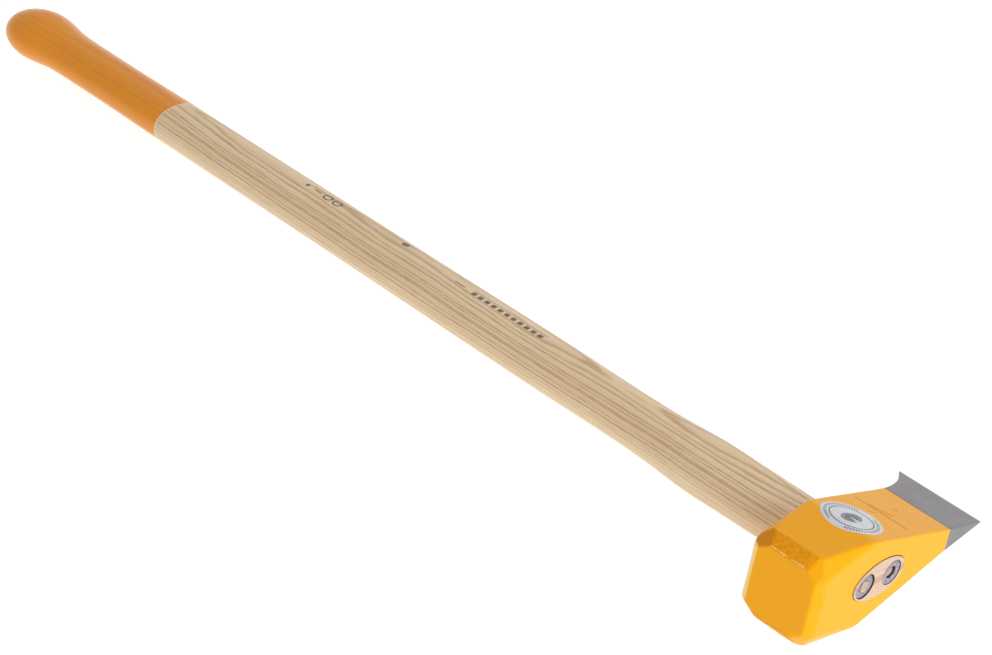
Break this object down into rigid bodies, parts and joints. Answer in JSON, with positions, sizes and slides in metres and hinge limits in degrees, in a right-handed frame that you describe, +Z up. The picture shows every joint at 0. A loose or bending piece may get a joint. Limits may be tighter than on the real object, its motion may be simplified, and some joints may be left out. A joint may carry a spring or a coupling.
{
  "type": "splitting maul",
  "caption": "Long-handled splitting maul: forged wedge head with ground steel bit and flat poll, oval ash handle with coated knob grip, wedged in the eye and lying at rest on a floor.",
  "frame": {"origin": "on the floor, under the middle of the bounding box of the maul as it lies at rest", "axes": "+Z up, +X along the handle from the knob towards the head, +Y from the poll towards the cutting edge"},
  "size_m": [0.901, 0.186, 0.0807],
  "materials": {
    "head_lacquer": "warm yellow lacquer on forged steel, the last 38 mm of the bit ground bare",
    "handle_ash": "sanded pale ash, matt, with an orange-yellow dip coat over the grip",
    "wedge_beech": "hardwood end grain, trimmed flush with the handle",
    "ring_steel": "bright turned steel",
    "label_film": "silver-white self-adhesive label"
  },
  "bodies": {
    "root": {"head": "head_lacquer", "handle": "handle_ash", "kerf_wedge": "wedge_beech", "ring_wedge_poll": "ring_steel", "ring_wedge_edge": "ring_steel", "label": "label_film"}
  },
  "joints": []
}
